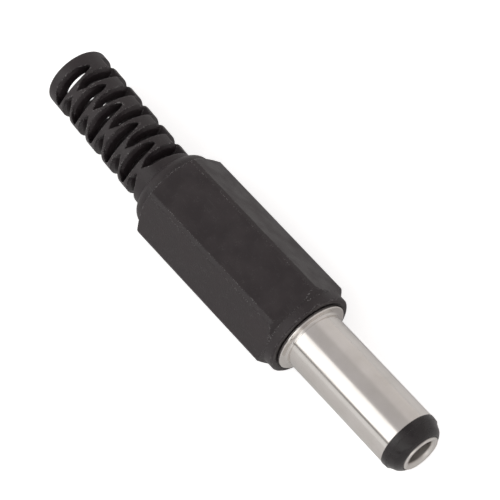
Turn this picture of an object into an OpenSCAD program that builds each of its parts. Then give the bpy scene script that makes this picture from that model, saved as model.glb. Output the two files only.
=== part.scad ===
// DC power plug: a plated barrel with an insulated centre contact, two solder
// terminals, and a screw-on hexagonal cover that ends in a slotted bend relief.
// X runs along the plug with the nose at +X, Z is up, and the plug lies on one
// flat of the hexagon. X = 0 is the root of the straight barrel.

/* [Barrel and flange] */
// Outside diameter of the barrel
barrel_d = 5.5; // [5.3:0.1:5.8]
// Length of the straight barrel, from its root fillet to its front edge
barrel_len = 11.79; // [9:0.01:13]
// Wall of the barrel
barrel_wall = 0.4; // [0.3:0.05:0.45]
// Rounding of the barrel's front edge
barrel_edge = 0.1; // [0.05:0.01:0.15]
// Radius of the fillet between the flange and the barrel
root_fillet = 0.2; // [0.1:0.05:0.3]
// Diameter of the flange that stops against the cover
flange_d = 6.9; // [6.6:0.1:7.6]
// Thickness of the flange
flange_t = 0.42; // [0.35:0.01:0.6]
// Bevel on the front rim of the flange
flange_bevel = 0.06; // [0.03:0.01:0.1]
// Bevel on the back rim of the flange, which leaves a shadow line at the cover
flange_back_bevel = 0.15; // [0.1:0.01:0.2]
// How far the barrel's bore runs back past its root
barrel_bore_back = 0.3; // [0:0.05:0.5]

/* [Threaded shank] */
// Outside diameter of the shank that screws into the cover
shank_d = 6; // [5.9:0.05:6.2]
// Length of the shank behind the flange
shank_len = 4.8; // [4:0.1:5.2]
// Width of the relief groove next to the flange
relief_w = 0.5; // [0.3:0.1:0.7]
// Depth of the relief groove
relief_depth = 0.3; // [0.2:0.05:0.4]
// Bevel at the rear end of the shank
shank_bevel = 0.25; // [0.1:0.05:0.3]
// Wall of the spigot that carries the sleeve terminal
spigot_wall = 0.4; // [0.3:0.05:0.45]
// Length of the staked lip at the end of the spigot
stake_len = 0.2; // [0.15:0.05:0.3]
// How far the staked lip spreads beyond the spigot
stake_spread = 0.2; // [0.1:0.05:0.25]

/* [Nose insulator] */
// Length of the insulator's nose in front of the barrel
nose_len = 1.6; // [1.5:0.05:2]
// How far the nose's land stands out from the barrel
nose_step = 0.04; // [0:0.01:0.06]
// Length of the land
land_len = 0.53; // [0.3:0.01:0.6]
// How much the land narrows towards the cone
land_fall = 0.04; // [0.02:0.01:0.06]
// Radius of the rounding between the cone and the front rim
nose_round = 1.26; // [1.1:0.02:1.4]
// Angle between the axis and the cone where the rounding starts
nose_slope = 35; // [32:1:38]
// Angle between the axis and the surface where the rounding meets the rim
nose_end_angle = 66; // [60:1:70]
// Width of the flat rim around the contact's lip
nose_rim = 0.08; // [0.05:0.01:0.12]
// Step down from the land to the cone
cone_step = 0.05; // [0.03:0.01:0.08]
// Diameter of the neck that runs back through the shank
neck_d = 2.7; // [2.5:0.05:2.8]

/* [Centre contact] */
// Bore that takes the socket's pin
contact_bore = 2.5; // [2.1:0.1:2.6]
// Depth of that bore
contact_depth = 9.6; // [8:0.1:10]
// Wall of the contact tube
contact_wall = 0.3; // [0.25:0.01:0.4]
// Diameter of the lip at the contact's mouth
lip_d = 3.58; // [3.45:0.01:3.7]
// Length of the lip
lip_len = 0.36; // [0.3:0.01:0.45]
// How far the lip stands proud of the insulator
lip_proud = 0.15; // [0.1:0.01:0.25]
// Rounding of the lip's front edge
lip_round = 0.1; // [0.05:0.01:0.15]
// Radius of the bell at the bore's mouth
contact_bell = 0.36; // [0.2:0.01:0.4]
// Thickness of the floor of the bore
contact_floor = 0.8; // [0.5:0.1:1.2]
// Diameter of the pin that runs back to the terminal
pin_d = 1.4; // [1.2:0.1:1.5]
// Diameter of the rivet head behind the centre terminal
rivet_d = 2.1; // [1.8:0.1:2.2]
// Thickness of the rivet head
rivet_t = 0.3; // [0.2:0.05:0.4]

/* [Terminals] */
// Thickness of the terminals' sheet
sheet_t = 0.35; // [0.3:0.01:0.4]
// Inside radius of the sheet's bends
bend_r = 0.15; // [0.1:0.01:0.2]
// Diameter of the ring on the spigot
ring_d = 4.5; // [4.3:0.1:4.8]
// Distance from the axis to the outside of the sleeve terminal's leg
ring_leg_r = 2.45; // [2.4:0.05:2.5]
// Width of the sleeve terminal's leg
ring_leg_w = 2; // [1.8:0.1:2.2]
// Length of the sleeve terminal's leg
ring_leg_len = 9; // [8:0.1:10]
// Distance from the ring to the solder hole in its leg
ring_hole_at = 3; // [2.5:0.1:4]
// Length of the cable clamp along the axis
clamp_len = 2.4; // [2:0.1:3]
// Angle that the clamp's two wings span
clamp_span = 240; // [200:5:270]
// Diameter of the disc of the centre terminal
disc_d = 3.4; // [3.2:0.1:3.6]
// Width of the centre terminal's leg
disc_leg_w = 1.8; // [1.6:0.1:2]
// Length of the centre terminal's leg
disc_leg_len = 3.8; // [3.2:0.1:4.2]
// Distance from the disc to the solder hole in its leg
disc_hole_at = 2.6; // [2:0.1:2.8]
// Diameter of the solder holes
solder_hole_d = 1; // [0.8:0.1:1.1]
// Gap between the insulating washer and the sleeve terminal's leg
washer_gap = 0.1; // [0.05:0.01:0.2]
// Thickness of the insulating washer
washer_t = 0.6; // [0.4:0.05:0.8]

/* [Cover] */
// Distance across the flats of the hexagon
across_flats = 8.2; // [8.1:0.05:9]
// How far the corners of the hexagon are turned down
corner_turn = 0.12; // [0.05:0.01:0.2]
// Length from the flange's seat to the start of the rear cone
hex_end = 17.18; // [16.5:0.01:19]
// Length of the round collar behind the flange's seat
collar_len = 0.8; // [0.5:0.05:1.2]
// How much smaller the collar is than the flats
collar_step = 0.01; // [0.01:0.01:0.1]
// How far the collar reaches forward around the flange
collar_lip = 0.1; // [0.05:0.01:0.25]
// Gap around the flange inside that lip
lip_gap = 0.12; // [0.08:0.01:0.2]
// Bevel on the collar's front edge
collar_bevel = 0.08; // [0.04:0.01:0.12]
// Length of the cone from the collar to the corners
front_cone = 0.42; // [0.3:0.01:0.6]
// Length of the cone behind the hexagon
rear_cone = 0.33; // [0.25:0.01:0.8]
// How much smaller the rear plateau is than the flats
plateau_step = 0.19; // [0.1:0.01:0.3]
// Length of the rear plateau
plateau_len = 0.24; // [0.1:0.01:0.5]
// Radius of the shoulder's rounding
shoulder_r = 1; // [0.95:0.01:1.4]
// Depth of the threaded bore
thread_depth = 5.5; // [5.4:0.1:6.5]
// Bevel at the mouth of the threaded bore
mouth_bevel = 0.2; // [0.1:0.05:0.3]
// Diameter of the chamber behind the thread
chamber_d = 5.9; // [5.8:0.05:6]
// Depth of the chamber from the flange's seat
chamber_end = 16.8; // [16.2:0.1:17]
// Length of the cone between the chamber and the cable's passage
chamber_cone = 1.5; // [1.3:0.1:1.6]

/* [Bend relief] */
// Outside diameter of the bend relief
tail_d = 5.95; // [5.8:0.05:6.3]
// Passage for the cable
cable_d = 3.6; // [3.4:0.1:3.8]
// Diameter of the wider mouth inside the closed ring
tail_mouth_d = 4; // [3.95:0.05:4.3]
// Length from the flange's seat to the end of the relief
tail_end = 32.6; // [29:0.1:34]
// Rounding of the end's outer edge
tail_edge = 0.3; // [0.2:0.01:0.4]
// Bevel at the passage's mouth
tail_bore_bevel = 0.15; // [0.1:0.01:0.2]
// Sideways set that the relief has taken, in degrees
tail_bend = 3; // [0:0.5:5]
// Length of the closed ring at the end
end_ring = 0.95; // [0.9:0.05:1.5]
// Distance between one row of slots and the next
slot_pitch = 1.208; // [1.19:0.002:1.4]
// Width of a slot along the axis, at the surface
slot_w = 1.26; // [1:0.02:1.28]
// Width of a slot below its rounded edges
slot_neck_w = 0.8; // [0.6:0.02:0.9]
// Depth of the rounded edges
slot_edge = 0.36; // [0.25:0.01:0.45]
// Width of a slot at the cable's passage
slot_floor_w = 0.56; // [0.4:0.02:0.6]
// Half length of a wide slot across the relief
slot_reach = 2.32; // [2.2:0.02:2.6]
// Distance from the axis to the floor of a wide slot
slot_floor = 0.95; // [0.8:0.05:1.2]
// How far the pointed slots reach past the axis
point_floor = 0.3; // [0:0.05:0.4]
// Width of the web between two pointed slots
web_w = 0.56; // [0.4:0.02:0.8]
// Length of a pointed slot's tip
point_len = 0.86; // [0.7:0.02:1]
// Width of a pointed slot behind its tip
point_w = 0.86; // [0.6:0.02:0.9]
// Width of a pointed slot where it leaves the relief's side
point_out_w = 1.3; // [0.9:0.02:1.4]

/* [Fits] */
// Radial clearance of the cover's thread on the shank
thread_gap = 0.05; // [0.03:0.01:0.08]
// Gap between the flange and the cover's mouth
seat_gap = 0.02; // [0.01:0.01:0.05]
// Radial clearance between pieces that are pressed together
fit_gap = 0.02; // [0.01:0.01:0.03]

/* [Hidden] */
$fn = 96;
over = 1;

// Stations along the plug, from the nose to the rivet head.
barrel_r = barrel_d / 2;
barrel_bore_r = barrel_r - barrel_wall;
nose_x = barrel_len + nose_len;
lip_x = nose_x + lip_proud;
flange_x = -root_fillet;
flange_r = flange_d / 2;
mouth_x = flange_x - flange_t;
shank_r = shank_d / 2;
shank_x = mouth_x - shank_len;
bore_step_x = -barrel_bore_back;
neck_r = neck_d / 2;
spigot_r = neck_r + fit_gap + spigot_wall;
stake_x = shank_x - sheet_t;
spigot_x = stake_x - stake_len;
washer_x = spigot_x - washer_t;
disc_x = washer_x - sheet_t;
rivet_x = disc_x - rivet_t;
pin_r = pin_d / 2;
tube_r = contact_bore / 2 + contact_wall;
bore_floor_x = lip_x - contact_depth;
tube_x = bore_floor_x - contact_floor;
washer_r = ring_leg_r - sheet_t - washer_gap;

// Nose: a land that narrows slightly, a cone, and a rounding up to the rim.
rim_r = lip_d / 2 + fit_gap + nose_rim;
land_r = barrel_r + nose_step;
cone_r = land_r - land_fall;
cone_x = barrel_len + land_len;

// Cover, measured from its mouth towards the tail.
flat_r = across_flats / 2;
corner_r = flat_r / cos(30);
turned_r = corner_r - corner_turn;
collar_r = flat_r - collar_step;
plateau_r = flat_r - plateau_step;
plateau_at = hex_end + rear_cone;
shoulder_at = plateau_at + plateau_len;
tail_r = tail_d / 2;
tail_start = shoulder_at + shoulder_r;
cable_r = cable_d / 2;
tail_mouth_r = tail_mouth_d / 2;
recess_r = flange_r + lip_gap;
thread_r = shank_r + thread_gap;
chamber_r = chamber_d / 2;

// Rows of slots, counted from the closed ring at the end.
first_row = tail_end - end_ring - slot_w / 2;
rows = floor((first_row - slot_w / 2 - tail_start) / slot_pitch) + 1;
parting = -30;

function arc(x, r, radius, from, to, steps) =
    [for (i = [0:steps]) let (a = from + (to - from) * i / steps)
        [r + radius * sin(a), x + radius * cos(a)]];

// Turned pieces are drawn as (radius, X) and spun about the plug's axis.
module turned() {
    rotate([0, 90, 0]) rotate_extrude() children();
}

// Cover pieces are drawn from the mouth towards the tail.
module from_mouth() {
    translate([mouth_x - seat_gap, 0, 0]) rotate([0, -90, 0]) children();
}

// The relief leans by its set from where it leaves the shoulder.
module bent() {
    translate([0, 0, tail_start]) rotate([-tail_bend, 0, 0])
        translate([0, 0, -tail_start]) children();
}

// Outside of the cover as if it were all turned: collar, corner diameter,
// rear cone, plateau and rounded shoulder.
module cover_turning() {
    rotate_extrude() {
        polygon([[0, -collar_lip], [collar_r - collar_bevel, -collar_lip],
            [collar_r, collar_bevel - collar_lip], [collar_r, collar_len],
            [turned_r, collar_len + front_cone],
            [turned_r, hex_end], [plateau_r, plateau_at],
            [plateau_r, shoulder_at], [0, shoulder_at]]);
        translate([0, shoulder_at - over]) square([plateau_r - shoulder_r, shoulder_r + over]);
        translate([plateau_r - shoulder_r, shoulder_at]) circle(shoulder_r);
    }
}

// The hexagon is milled from the turning, and its corners keep the turning.
module cover_body() {
    intersection() {
        cover_turning();
        translate([0, 0, -over]) rotate([0, 0, 30])
            cylinder(r = corner_r, h = tail_start + 2 * over, $fn = 6);
    }
}

// Tube of the relief with its rounded end.
module relief_tube() {
    rotate_extrude() {
        translate([0, shoulder_at]) square([tail_r, tail_end - tail_edge - shoulder_at]);
        translate([0, shoulder_at]) square([tail_r - tail_edge, tail_end - shoulder_at]);
        translate([tail_r - tail_edge, tail_end - tail_edge]) circle(tail_edge);
    }
}

// Recess for the flange, threaded bore, chamber and the cone that leads to the
// cable's passage.
module cover_bore() {
    translate([0, 0, -over]) cylinder(r = recess_r, h = over);
    translate([0, 0, -over]) cylinder(r = thread_r, h = thread_depth + over);
    translate([0, 0, -over]) cylinder(
        r1 = thread_r + mouth_bevel + over, r2 = thread_r, h = mouth_bevel + over);
    translate([0, 0, thread_depth - over]) cylinder(
        r = chamber_r, h = chamber_end - thread_depth + over);
    // The cone runs on past its end, inside the passage.
    translate([0, 0, chamber_end]) cylinder(
        r1 = chamber_r, r2 = cable_r - (chamber_r - cable_r) / 3, h = chamber_cone * 4 / 3);
}

module cable_passage() {
    translate([0, 0, chamber_end + chamber_cone / 2])
        cylinder(r = cable_r, h = tail_end);
    translate([0, 0, tail_end - end_ring]) cylinder(r = tail_mouth_r, h = end_ring + over);
    translate([0, 0, tail_end - tail_bore_bevel]) cylinder(
        r1 = tail_mouth_r, r2 = tail_mouth_r + tail_bore_bevel + over,
        h = tail_bore_bevel + over);
}

// The section that every slot keeps along the axis: narrow at the passage,
// wider to the neck, and flared at the surface, which rounds the rings' edges.
module slot_section() {
    flare = (slot_w - slot_neck_w) / slot_edge / 2;
    half = [[cable_r - over, slot_floor_w / 2], [cable_r, slot_floor_w / 2],
            [tail_r - slot_edge, slot_neck_w / 2], [tail_r, slot_w / 2],
            [tail_r + over, slot_w / 2 + flare * over]];
    rotate_extrude() polygon(concat(half,
        [for (i = [len(half) - 1:-1:0]) [half[i][0], -half[i][1]]]));
}

// An outline that lies along the axis and across, drawn outwards by the mould.
module drawn(outline, floor_at) {
    translate([floor_at, 0, 0]) rotate([0, 90, 0])
        linear_extrude(tail_r + over - floor_at) polygon(outline);
}

// One wide slot through the wall, from one side.
module wide_slot() {
    drawn([for (a = [0:15:345]) [slot_w / 2 * sin(a), slot_reach * cos(a)]], slot_floor);
}

// Two slots that point at each other across a narrow web.
module pointed_slots() {
    tip = web_w / 2;
    side = tail_r + over;
    for (flip = [0, 1]) mirror([0, flip, 0]) drawn([
        [0, tip], [point_w / 2, tip + point_len], [point_out_w / 2, tail_r],
        [point_out_w / 2, side], [-point_out_w / 2, side],
        [-point_out_w / 2, tail_r], [-point_w / 2, tip + point_len]], -point_floor);
}

// Each row has a wide slot on one side and two pointed slots on the other, and
// the sides change over from row to row.
module slot_rows() {
    for (i = [0:rows - 1]) translate([0, 0, first_row - i * slot_pitch])
        rotate([0, 0, parting + 180 * (i % 2)]) intersection() {
            slot_section();
            union() {
                wide_slot();
                rotate([0, 0, 180]) pointed_slots();
            }
        }
}

module cover() {
    color("#2b2829") from_mouth() difference() {
        union() {
            cover_body();
            bent() relief_tube();
        }
        cover_bore();
        bent() {
            cable_passage();
            slot_rows();
        }
    }
}

// Barrel, flange, shank and staked spigot, turned from one bar.
module outer_sleeve() {
    color("#c9c4bc") turned() polygon(concat(
        [[barrel_bore_r, barrel_len]],
        [for (p = arc(barrel_len - barrel_edge, barrel_r - barrel_edge, barrel_edge, 0, 90, 4)) p],
        arc(0, barrel_r + root_fillet, root_fillet, 270, 180, 5),
        [[flange_r - flange_bevel, flange_x],
         [flange_r, flange_x - flange_bevel],
         [flange_r, mouth_x + flange_back_bevel],
         [flange_r - flange_back_bevel, mouth_x],
         [shank_r - relief_depth, mouth_x],
         [shank_r - relief_depth, mouth_x - relief_w],
         [shank_r, mouth_x - relief_w - relief_depth],
         [shank_r, shank_x + shank_bevel],
         [shank_r - shank_bevel, shank_x],
         [spigot_r, shank_x], [spigot_r, stake_x],
         [spigot_r + stake_spread, stake_x],
         [spigot_r, spigot_x],
         [neck_r + fit_gap, spigot_x],
         [neck_r + fit_gap, bore_step_x],
         [barrel_bore_r, bore_step_x]]));
}

// Moulded insulator: nose, body inside the barrel and neck through the shank.
module nose_insulator() {
    body_r = barrel_bore_r - fit_gap;
    color("#1d1b1c") turned() polygon(concat(
        [[lip_d / 2 + fit_gap, nose_x]],
        [for (i = [0:6]) let (a = nose_end_angle + (nose_slope - nose_end_angle) * i / 6)
            [rim_r + nose_round * (cos(a) - cos(nose_end_angle)),
             nose_x - nose_round * (sin(nose_end_angle) - sin(a))]],
        [[cone_r - cone_step, cone_x],
         [cone_r, cone_x],
         [land_r, barrel_len + land_len / 3],
         [land_r, barrel_len],
         [body_r, barrel_len],
         [body_r, bore_step_x], [neck_r, bore_step_x], [neck_r, spigot_x],
         [pin_r + fit_gap, spigot_x], [pin_r + fit_gap, tube_x],
         [tube_r + fit_gap, tube_x], [tube_r + fit_gap, lip_x - lip_len],
         [lip_d / 2 + fit_gap, lip_x - lip_len]]));
}

// Centre contact: lipped tube for the socket's pin, and a pin that is riveted
// behind the centre terminal.
module centre_contact() {
    bore_r = contact_bore / 2;
    color("#d2cec6") turned() polygon(concat(
        [[0, bore_floor_x - bore_r / 2], [bore_r, bore_floor_x],
         [bore_r, lip_x - contact_bell]],
        [for (a = [15:15:90])
            [bore_r + contact_bell * (1 - cos(a)), lip_x - contact_bell * (1 - sin(a))]],
        arc(lip_x - lip_round, lip_d / 2 - lip_round, lip_round, 0, 90, 4),
        [[lip_d / 2, lip_x - lip_len], [tube_r, lip_x - lip_len],
         [tube_r, tube_x], [pin_r, tube_x], [pin_r, disc_x],
         [rivet_d / 2, disc_x], [rivet_d / 2 - rivet_t / 3, rivet_x], [0, rivet_x]]));
}

// Insulating washer between the sleeve's spigot and the centre terminal.
module insulating_washer() {
    color("#4a3a2c") turned() difference() {
        translate([0, washer_x]) square([washer_r, washer_t]);
        translate([0, washer_x - over]) square([pin_r + fit_gap, washer_t + 2 * over]);
    }
}

// A strip that leaves a plate on the plane Z = 0, bends and runs along -Z with
// its outside at out_r, with a rounded end and a solder hole.
module bent_leg(out_r, width, length, hole_at) {
    turn = sheet_t + bend_r;
    translate([out_r - turn, width / 2, -turn]) rotate([90, 0, 0])
        rotate_extrude(angle = 90) translate([bend_r, 0]) square([sheet_t, width]);
    translate([out_r - sheet_t, 0, 0]) rotate([0, 90, 0]) linear_extrude(sheet_t)
        difference() {
            union() {
                translate([turn, -width / 2]) square([length - turn - width / 2, width]);
                translate([length - width / 2, 0]) circle(width / 2);
            }
            translate([hole_at, 0]) circle(solder_hole_d / 2);
        }
}

// Sleeve terminal: a ring on the spigot, a leg and an open cable clamp.
module sleeve_terminal() {
    clamp_at = ring_leg_len - clamp_len - ring_leg_w / 4;
    color("#b9b6ae") translate([shank_x, 0, 0]) rotate([0, 90, 0]) difference() {
        union() {
            translate([0, 0, -sheet_t]) cylinder(d = ring_d, h = sheet_t);
            bent_leg(ring_leg_r, ring_leg_w, ring_leg_len, ring_hole_at);
            translate([0, 0, -clamp_at - clamp_len]) rotate([0, 0, -clamp_span / 2])
                rotate_extrude(angle = clamp_span) translate([ring_leg_r - sheet_t, 0])
                    square([sheet_t, clamp_len]);
        }
        translate([0, 0, -sheet_t - over]) cylinder(r = spigot_r + fit_gap, h = sheet_t + 2 * over);
    }
}

// Centre terminal: a disc under the rivet head and a leg on the other side.
module centre_terminal() {
    color("#b9b6ae") translate([washer_x, 0, 0]) rotate([0, 90, 0]) difference() {
        union() {
            translate([0, 0, -sheet_t]) cylinder(d = disc_d, h = sheet_t);
            rotate([0, 0, 180]) bent_leg(disc_d / 2, disc_leg_w, disc_leg_len, disc_hole_at);
        }
        translate([0, 0, -sheet_t - over]) cylinder(r = pin_r + fit_gap, h = sheet_t + 2 * over);
    }
}

cover();
outer_sleeve();
nose_insulator();
centre_contact();
insulating_washer();
sleeve_terminal();
centre_terminal();
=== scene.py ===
from math import cos, pi, sin

import bpy
from mathutils import Matrix, Vector


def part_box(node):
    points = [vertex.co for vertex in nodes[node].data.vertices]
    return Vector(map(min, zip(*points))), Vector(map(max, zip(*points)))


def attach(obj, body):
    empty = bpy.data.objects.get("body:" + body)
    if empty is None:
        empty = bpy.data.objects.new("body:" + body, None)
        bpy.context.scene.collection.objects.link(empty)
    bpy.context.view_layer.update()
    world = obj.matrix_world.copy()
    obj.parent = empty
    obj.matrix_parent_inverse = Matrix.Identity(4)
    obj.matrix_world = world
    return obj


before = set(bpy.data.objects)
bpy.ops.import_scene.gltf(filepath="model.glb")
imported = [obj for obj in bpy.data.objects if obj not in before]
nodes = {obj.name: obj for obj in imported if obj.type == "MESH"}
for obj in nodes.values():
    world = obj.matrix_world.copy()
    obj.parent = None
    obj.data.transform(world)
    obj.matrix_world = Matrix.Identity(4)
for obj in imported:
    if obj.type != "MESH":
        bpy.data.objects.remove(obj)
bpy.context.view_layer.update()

MM = 0.001

# The plug lies along X on one flat of its hexagon.
FLOOR_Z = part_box("cover")[0][2]

# ---------------------------------------------------------------- camera
VIEW_FROM = Vector((0.3955, -0.1570, 0.9050)).normalized()
VIEW_UP = Vector((-0.6670, 0.6276, 0.4006))
TARGET = Vector((-9.76, 1.25, 0.22)) * MM
DISTANCE = 223.7 * MM
LENS = 192.24


def add_camera():
    z = VIEW_FROM
    x = VIEW_UP.cross(z).normalized()
    camera = bpy.data.cameras.new("camera")
    camera.lens = LENS
    camera.sensor_width = 36
    camera.clip_start = 0.01
    camera.clip_end = 10
    holder = bpy.data.objects.new("camera", camera)
    turn = Matrix((x, z.cross(x), z)).transposed().to_4x4()
    holder.matrix_world = Matrix.Translation(TARGET + z * DISTANCE) @ turn
    bpy.context.collection.objects.link(holder)
    bpy.context.scene.camera = holder


# ---------------------------------------------------------------- shader helpers
def add(block, kind, inputs=None, **settings):
    """Adds a shader node to a material or world and fills its sockets."""
    node = block.node_tree.nodes.new(kind)
    for name, value in settings.items():
        setattr(node, name, value)
    for key, value in (inputs or {}).items():
        if isinstance(value, bpy.types.NodeSocket):
            block.node_tree.links.new(value, node.inputs[key])
        else:
            node.inputs[key].default_value = value
    return node


def grain(m, size, stretch=(1, 1, 1), turn=(0, 0, 0), detail=3.0):
    """Noise whose spots are about size metres across, longer where stretched."""
    place = add(m, "ShaderNodeTexCoord").outputs["Object"]
    mapped = add(m, "ShaderNodeMapping", {"Vector": place, "Rotation": turn,
                                          "Scale": [1 / s for s in stretch]})
    noise = add(m, "ShaderNodeTexNoise", {"Vector": mapped.outputs["Vector"],
                                          "Scale": 1 / size, "Detail": detail})
    return noise.outputs["Fac"]


def remap(m, value, low, high, to_low=0.0, to_high=1.0):
    node = add(m, "ShaderNodeMapRange", {"Value": value, "From Min": low, "From Max": high,
                                         "To Min": to_low, "To Max": to_high})
    return node.outputs["Result"]


def maths(m, operation, first, second):
    return add(m, "ShaderNodeMath", {0: first, 1: second}, operation=operation).outputs[0]


def blend(m, amount, first, second):
    node = add(m, "ShaderNodeMixRGB", {"Fac": amount, "Color1": first, "Color2": second})
    return node.outputs["Color"]


def soft_edges(m, radius):
    """Normals that round every edge by radius."""
    return add(m, "ShaderNodeBevel", {"Radius": radius}, samples=6).outputs["Normal"]


def edge_mask(m, radius):
    """One along the edges, zero on the open faces."""
    flat = add(m, "ShaderNodeNewGeometry").outputs["Normal"]
    dot = add(m, "ShaderNodeVectorMath", {0: soft_edges(m, radius), 1: flat},
              operation="DOT_PRODUCT").outputs["Value"]
    return remap(m, dot, 0.998, 0.93)


def bump(m, height, depth, strength, normal=None):
    sockets = {"Height": height, "Distance": depth, "Strength": strength}
    if normal:
        sockets["Normal"] = normal
    return add(m, "ShaderNodeBump", sockets).outputs["Normal"]


def new_material(name):
    m = bpy.data.materials.new(name)
    m.use_nodes = True
    return m


def finish_material(m, **sockets):
    shader = m.node_tree.nodes["Principled BSDF"]
    for name, value in sockets.items():
        socket = shader.inputs[name.replace("_", " ")]
        if isinstance(value, bpy.types.NodeSocket):
            m.node_tree.links.new(value, socket)
        else:
            socket.default_value = value
    return m


# ---------------------------------------------------------------- materials
PLASTIC = (0.0228, 0.0170, 0.0190, 1)
PLASTIC_WORN = (0.0320, 0.0248, 0.0270, 1)
SCRATCH = (0.0480, 0.0430, 0.0430, 1)
SPECKLE = (0.2300, 0.2250, 0.2250, 1)
NICKEL = (0.7700, 0.7400, 0.7150, 1)
NICKEL_DULL = (0.7000, 0.6700, 0.6400, 1)


def moulded_cover():
    """Satin black plastic with scuffs, fine scratches and pale worn corners."""
    m = new_material("moulded_cover")
    scuffs = remap(m, grain(m, 1.8 * MM, detail=5), 0.42, 0.66)
    lines = [remap(m, grain(m, 0.09 * MM, (16, 1, 1), (0.3, tilt, turn), 1.0), 0.68, 0.73)
             for tilt, turn in ((0.2, 0.35), (0.5, -1.25))]
    scratches = maths(m, "MULTIPLY", maths(m, "MAXIMUM", *lines),
                      remap(m, grain(m, 2.5 * MM), 0.48, 0.62, 0, 0.55))
    spots = remap(m, grain(m, 0.12 * MM, detail=2), 0.54, 0.60)
    rubbed = remap(m, grain(m, 0.9 * MM), 0.42, 0.56, 0.15, 1)
    worn = maths(m, "MULTIPLY", edge_mask(m, 0.26 * MM), rubbed)
    loose = remap(m, grain(m, 0.6 * MM), 0.50, 0.70, 0.0, 0.09)
    speckles = maths(m, "MULTIPLY", spots, maths(m, "MAXIMUM", worn, loose))
    colour = blend(m, scuffs, PLASTIC, PLASTIC_WORN)
    colour = blend(m, scratches, colour, SCRATCH)
    colour = blend(m, speckles, colour, SPECKLE)
    skin = bump(m, grain(m, 0.14 * MM, detail=5), 0.03 * MM, 0.55, soft_edges(m, 0.20 * MM))
    skin = bump(m, scratches, 0.01 * MM, 0.4, skin)
    return finish_material(m, Base_Color=colour, Roughness=remap(m, scuffs, 0, 1, 0.40, 0.56),
                           Specular_IOR_Level=0.42, Normal=skin)


def plated(name, roughness):
    """Nickel plating over a turned surface, with tool marks around the axis."""
    m = new_material(name)
    marks = grain(m, 0.05 * MM, (1, 60, 60), detail=2)
    clouds = remap(m, grain(m, 2.2 * MM, detail=4), 0.35, 0.7)
    rubs = remap(m, grain(m, 0.06 * MM, (45, 1, 1), detail=1.0), 0.66, 0.74, 0, 0.6)
    gloss = maths(m, "ADD", remap(m, clouds, 0, 1, roughness, roughness * 1.7),
                  maths(m, "MULTIPLY", rubs, 0.08))
    skin = bump(m, marks, 0.004 * MM, 0.18, soft_edges(m, 0.05 * MM))
    return finish_material(m, Base_Color=blend(m, clouds, NICKEL, NICKEL_DULL), Metallic=1.0,
                           Roughness=gloss, Normal=skin)


def nose_plastic():
    """Smooth black plastic with a few pale nicks on its edges."""
    m = new_material("nose_plastic")
    clouds = remap(m, grain(m, 0.9 * MM, detail=4), 0.4, 0.65)
    nicks = maths(m, "MULTIPLY", edge_mask(m, 0.07 * MM),
                  remap(m, grain(m, 0.10 * MM, detail=3), 0.55, 0.66, 0, 0.7))
    colour = blend(m, clouds, (0.0090, 0.0060, 0.0070, 1), (0.0190, 0.0150, 0.0165, 1))
    colour = blend(m, nicks, colour, (0.12, 0.115, 0.11, 1))
    skin = bump(m, grain(m, 0.15 * MM), 0.008 * MM, 0.25, soft_edges(m, 0.12 * MM))
    return finish_material(m, Base_Color=colour, Roughness=remap(m, clouds, 0, 1, 0.22, 0.34),
                           Normal=skin)


def fibre_washer():
    """Brown pressed board with a fibrous grain."""
    m = new_material("fibre_washer")
    fibres = grain(m, 0.08 * MM, (1, 9, 2), (0.4, 0, 0.2), 5)
    colour = blend(m, remap(m, fibres, 0.35, 0.65), (0.11, 0.055, 0.03, 1), (0.23, 0.13, 0.075, 1))
    return finish_material(m, Base_Color=colour, Roughness=0.75,
                           Normal=bump(m, fibres, 0.01 * MM, 0.5, soft_edges(m, 0.05 * MM)))


def tinned_sheet(name, turn):
    """Dull tinned sheet, rolled along its length."""
    m = new_material(name)
    rolled = grain(m, 0.05 * MM, (30, 1, 1), (0, 0, turn), 2)
    clouds = remap(m, grain(m, 0.8 * MM, detail=4), 0.38, 0.66)
    dull = maths(m, "MAXIMUM", clouds, edge_mask(m, 0.08 * MM))
    colour = blend(m, dull, (0.70, 0.68, 0.64, 1), (0.52, 0.50, 0.47, 1))
    return finish_material(m, Base_Color=colour, Metallic=1.0,
                           Roughness=remap(m, dull, 0, 1, 0.28, 0.48),
                           Normal=bump(m, rolled, 0.006 * MM, 0.3, soft_edges(m, 0.05 * MM)))


def dress(node, material):
    mesh = nodes[node].data
    mesh.materials.clear()
    mesh.materials.append(material)


# ---------------------------------------------------------------- thread
SHANK_R = 3.0 * MM
THREAD_PITCH = 0.5 * MM
THREAD_LENGTH = 4.0 * MM
THREAD_INSET = 0.45 * MM                       # from the cover's mouth to the first turn
THREAD_HALF_WIDTH = 0.22 * MM
THREAD_RISE = 0.045 * MM                       # crest above the shank
THREAD_ROOT = 0.02 * MM                        # how deep the ridge is sunk into the shank
THREAD_STEPS = 72                              # a turn


def add_thread(material):
    """The fine right-hand thread: a low ridge wound round the shank."""
    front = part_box("cover")[1][0] - THREAD_INSET
    rings = round(THREAD_LENGTH / THREAD_PITCH * THREAD_STEPS)
    points = []
    faces = []
    for i in range(rings + 1):
        angle = 2 * pi * i / THREAD_STEPS
        along = front - THREAD_PITCH * i / THREAD_STEPS
        taper = min(1, i / THREAD_STEPS, (rings - i) / THREAD_STEPS)
        section = ((-THREAD_HALF_WIDTH, -THREAD_ROOT), (0, THREAD_RISE * taper),
                   (THREAD_HALF_WIDTH, -THREAD_ROOT))
        for offset, rise in section:
            r = SHANK_R + rise
            points.append((along + offset, r * sin(angle), r * cos(angle)))
        if i:
            a, b = 3 * i - 3, 3 * i
            faces += [(a, a + 1, b + 1, b), (a + 1, a + 2, b + 2, b + 1), (a + 2, a, b, b + 2)]
    faces += [(0, 2, 1), (3 * rings, 3 * rings + 1, 3 * rings + 2)]
    mesh = bpy.data.meshes.new("shank_thread")
    mesh.from_pydata(points, [], faces)
    mesh.materials.append(material)
    ridge = bpy.data.objects.new("shank_thread", mesh)
    bpy.context.collection.objects.link(ridge)
    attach(ridge, "plug")


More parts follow.
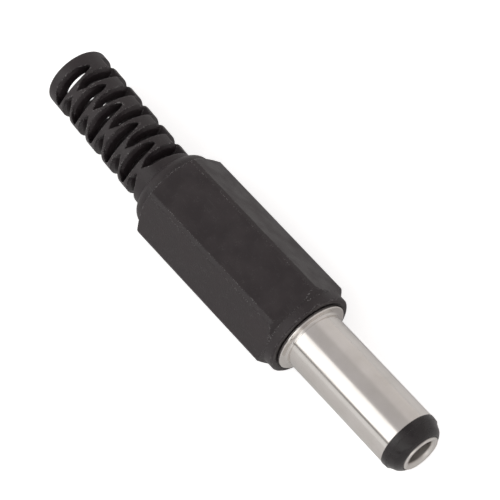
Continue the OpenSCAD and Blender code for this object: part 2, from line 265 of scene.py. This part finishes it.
# ---------------------------------------------------------------- stage
FLOOR_HALF = 2.0
FLOOR_GLOW = 0.62                              # lifts the floor to white for the camera alone


def add_floor():
    signs = ((-1, -1), (1, -1), (1, 1), (-1, 1))
    corners = [(x * FLOOR_HALF, y * FLOOR_HALF, FLOOR_Z) for x, y in signs]
    mesh = bpy.data.meshes.new("floor")
    mesh.from_pydata(corners, [], [(0, 1, 2, 3)])
    floor = bpy.data.objects.new("floor", mesh)
    bpy.context.collection.objects.link(floor)
    m = new_material("floor_white")
    finish_material(m, Base_Color=(0.86, 0.86, 0.86, 1), Roughness=0.9, Specular_IOR_Level=0.0)
    seen = add(m, "ShaderNodeLightPath").outputs["Is Camera Ray"]
    finish_material(m, Emission_Color=(1, 1, 1, 1),
                    Emission_Strength=maths(m, "MULTIPLY", seen, FLOOR_GLOW))
    mesh.materials.append(m)


def add_key(direction, distance, size, power):
    light = bpy.data.lights.new("key", "AREA")
    light.energy = power
    light.size = size
    holder = bpy.data.objects.new("key", light)
    toward = Vector(direction).normalized()
    holder.location = TARGET + toward * distance
    holder.rotation_euler = toward.to_track_quat("Z", "Y").to_euler()
    bpy.context.collection.objects.link(holder)


# The studio around the plug, by angle about its axis from straight at the
# camera: white table edge, a dark gap, the long softbox, and two grey walls.
BANDS = (
    (-180, (0.60, 0.60, 0.60)), (-64, (0.86, 0.85, 0.84)),
    (-61, (0.22, 0.21, 0.20)), (-57, (0.22, 0.21, 0.20)),
    (-53, (1.00, 0.98, 0.95)), (-40, (1.20, 1.19, 1.17)),
    (-22, (1.12, 1.10, 1.07)), (-9, (0.78, 0.76, 0.74)),
    (1, (0.52, 0.50, 0.50)), (40, (0.53, 0.51, 0.50)),
    (54, (0.67, 0.64, 0.63)), (96, (0.69, 0.66, 0.64)),
    (104, (0.60, 0.60, 0.60)), (180, (0.60, 0.60, 0.60)),
)
TOWARD_CAMERA = (0, -0.171, 0.985)
SIDEWAYS = (0, 0.985, 0.171)


def add_world():
    world = bpy.data.worlds.new("studio")
    world.use_nodes = True
    bpy.context.scene.world = world
    ray = add(world, "ShaderNodeTexCoord").outputs["Generated"]
    across, toward = (add(world, "ShaderNodeVectorMath", {0: ray, 1: way},
                          operation="DOT_PRODUCT").outputs["Value"]
                      for way in (SIDEWAYS, TOWARD_CAMERA))
    angle = remap(world, maths(world, "ARCTAN2", across, toward), -pi, pi)
    ramp = add(world, "ShaderNodeValToRGB", {"Fac": angle})
    stops = ramp.color_ramp.elements
    for _ in BANDS[2:]:
        stops.new(0.5)
    for stop, (degrees, colour) in zip(stops, BANDS):
        stop.position = degrees / 360 + 0.5
        stop.color = (*colour, 1)
    seen = add(world, "ShaderNodeLightPath").outputs["Is Camera Ray"]
    shown = blend(world, seen, ramp.outputs["Color"], (1, 1, 1, 1))
    world.node_tree.links.new(shown, world.node_tree.nodes["Background"].inputs["Color"])


# ---------------------------------------------------------------- scene
barrel = plated("plated_barrel", 0.11)
dress("cover", moulded_cover())
dress("outer_sleeve", barrel)
dress("nose_insulator", nose_plastic())
dress("centre_contact", plated("plated_contact", 0.26))
dress("insulating_washer", fibre_washer())
dress("sleeve_terminal", tinned_sheet("sleeve_tin", 0))
dress("centre_terminal", tinned_sheet("centre_tin", 0.6))
add_thread(barrel)
add_camera()
add_floor()
add_key((-0.40, -0.56, 0.73), 0.35, 0.26, 0.11)
add_world()
bpy.context.scene.view_settings.view_transform = "Standard"
